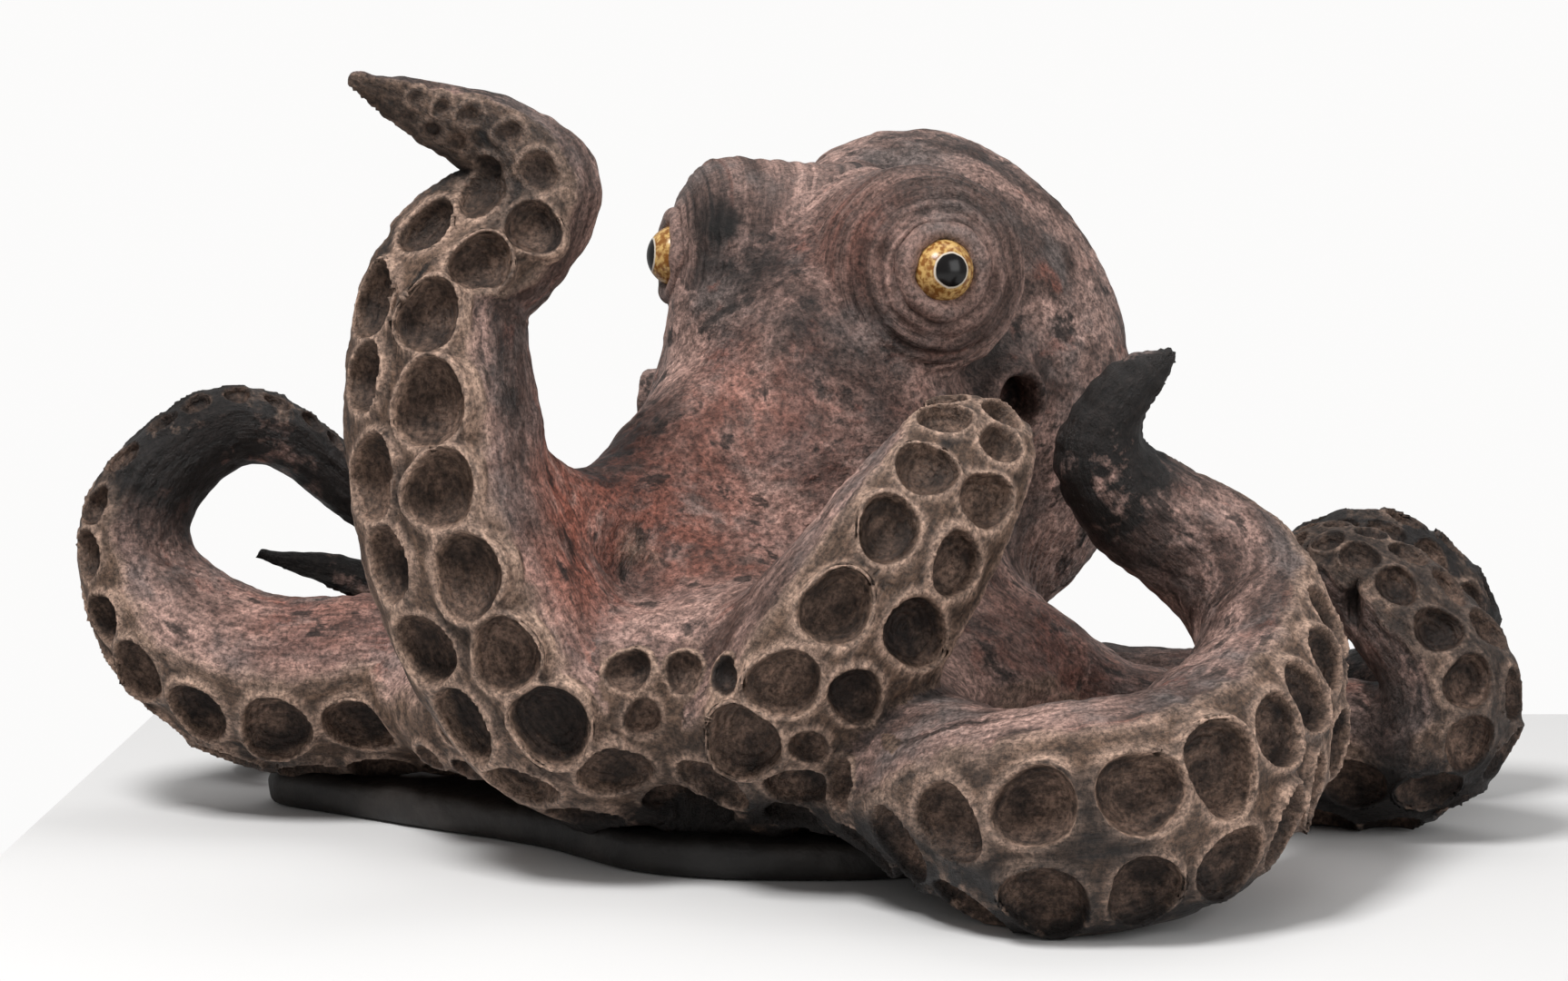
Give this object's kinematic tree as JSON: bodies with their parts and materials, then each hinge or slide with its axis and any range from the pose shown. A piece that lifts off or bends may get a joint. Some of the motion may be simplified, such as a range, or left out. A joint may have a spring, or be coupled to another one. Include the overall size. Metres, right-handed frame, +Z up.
{
  "type": "octopus figurine",
  "caption": "Hand-built smoke-fired stoneware octopus with curling sucker-lined arms, domed head, glazed eyes and a flat base to stand on.",
  "frame": {"origin": "on the table under the middle of the arm crown, on the base slab's underside", "axes": "+X to the viewer's right along the longest extent, +Y away from the viewer, +Z up"},
  "size_m": [0.4705, 0.3982, 0.2412],
  "materials": {
    "smoked_clay": "matte",
    "sucker_clay": "matte",
    "dark_base": "matte",
    "eye_glaze": "gloss"
  },
  "bodies": {
    "root": {"base_slab": "dark_base", "crown_web": "smoked_clay", "head_shell": "smoked_clay", "mantle_shell": "smoked_clay", "turret_right": "smoked_clay", "eyeball_right": "eye_glaze", "lid_right": "smoked_clay", "siphon_right": "smoked_clay", "turret_left": "smoked_clay", "eyeball_left": "eye_glaze", "lid_left": "smoked_clay", "siphon_left": "smoked_clay", "arm_tall_left": "smoked_clay", "suckers_tall_left": "sucker_clay", "arm_front": "smoked_clay", "suckers_front": "sucker_clay", "arm_left_curl": "smoked_clay", "suckers_left_curl": "sucker_clay", "arm_front_right": "smoked_clay", "suckers_front_right": "sucker_clay", "arm_right_coil": "smoked_clay", "suckers_right_coil": "sucker_clay", "arm_right_loop": "smoked_clay", "suckers_right_loop": "sucker_clay", "arm_rear": "smoked_clay", "suckers_rear": "sucker_clay", "arm_rear_left": "smoked_clay", "suckers_rear_left": "sucker_clay"}
  },
  "joints": []
}
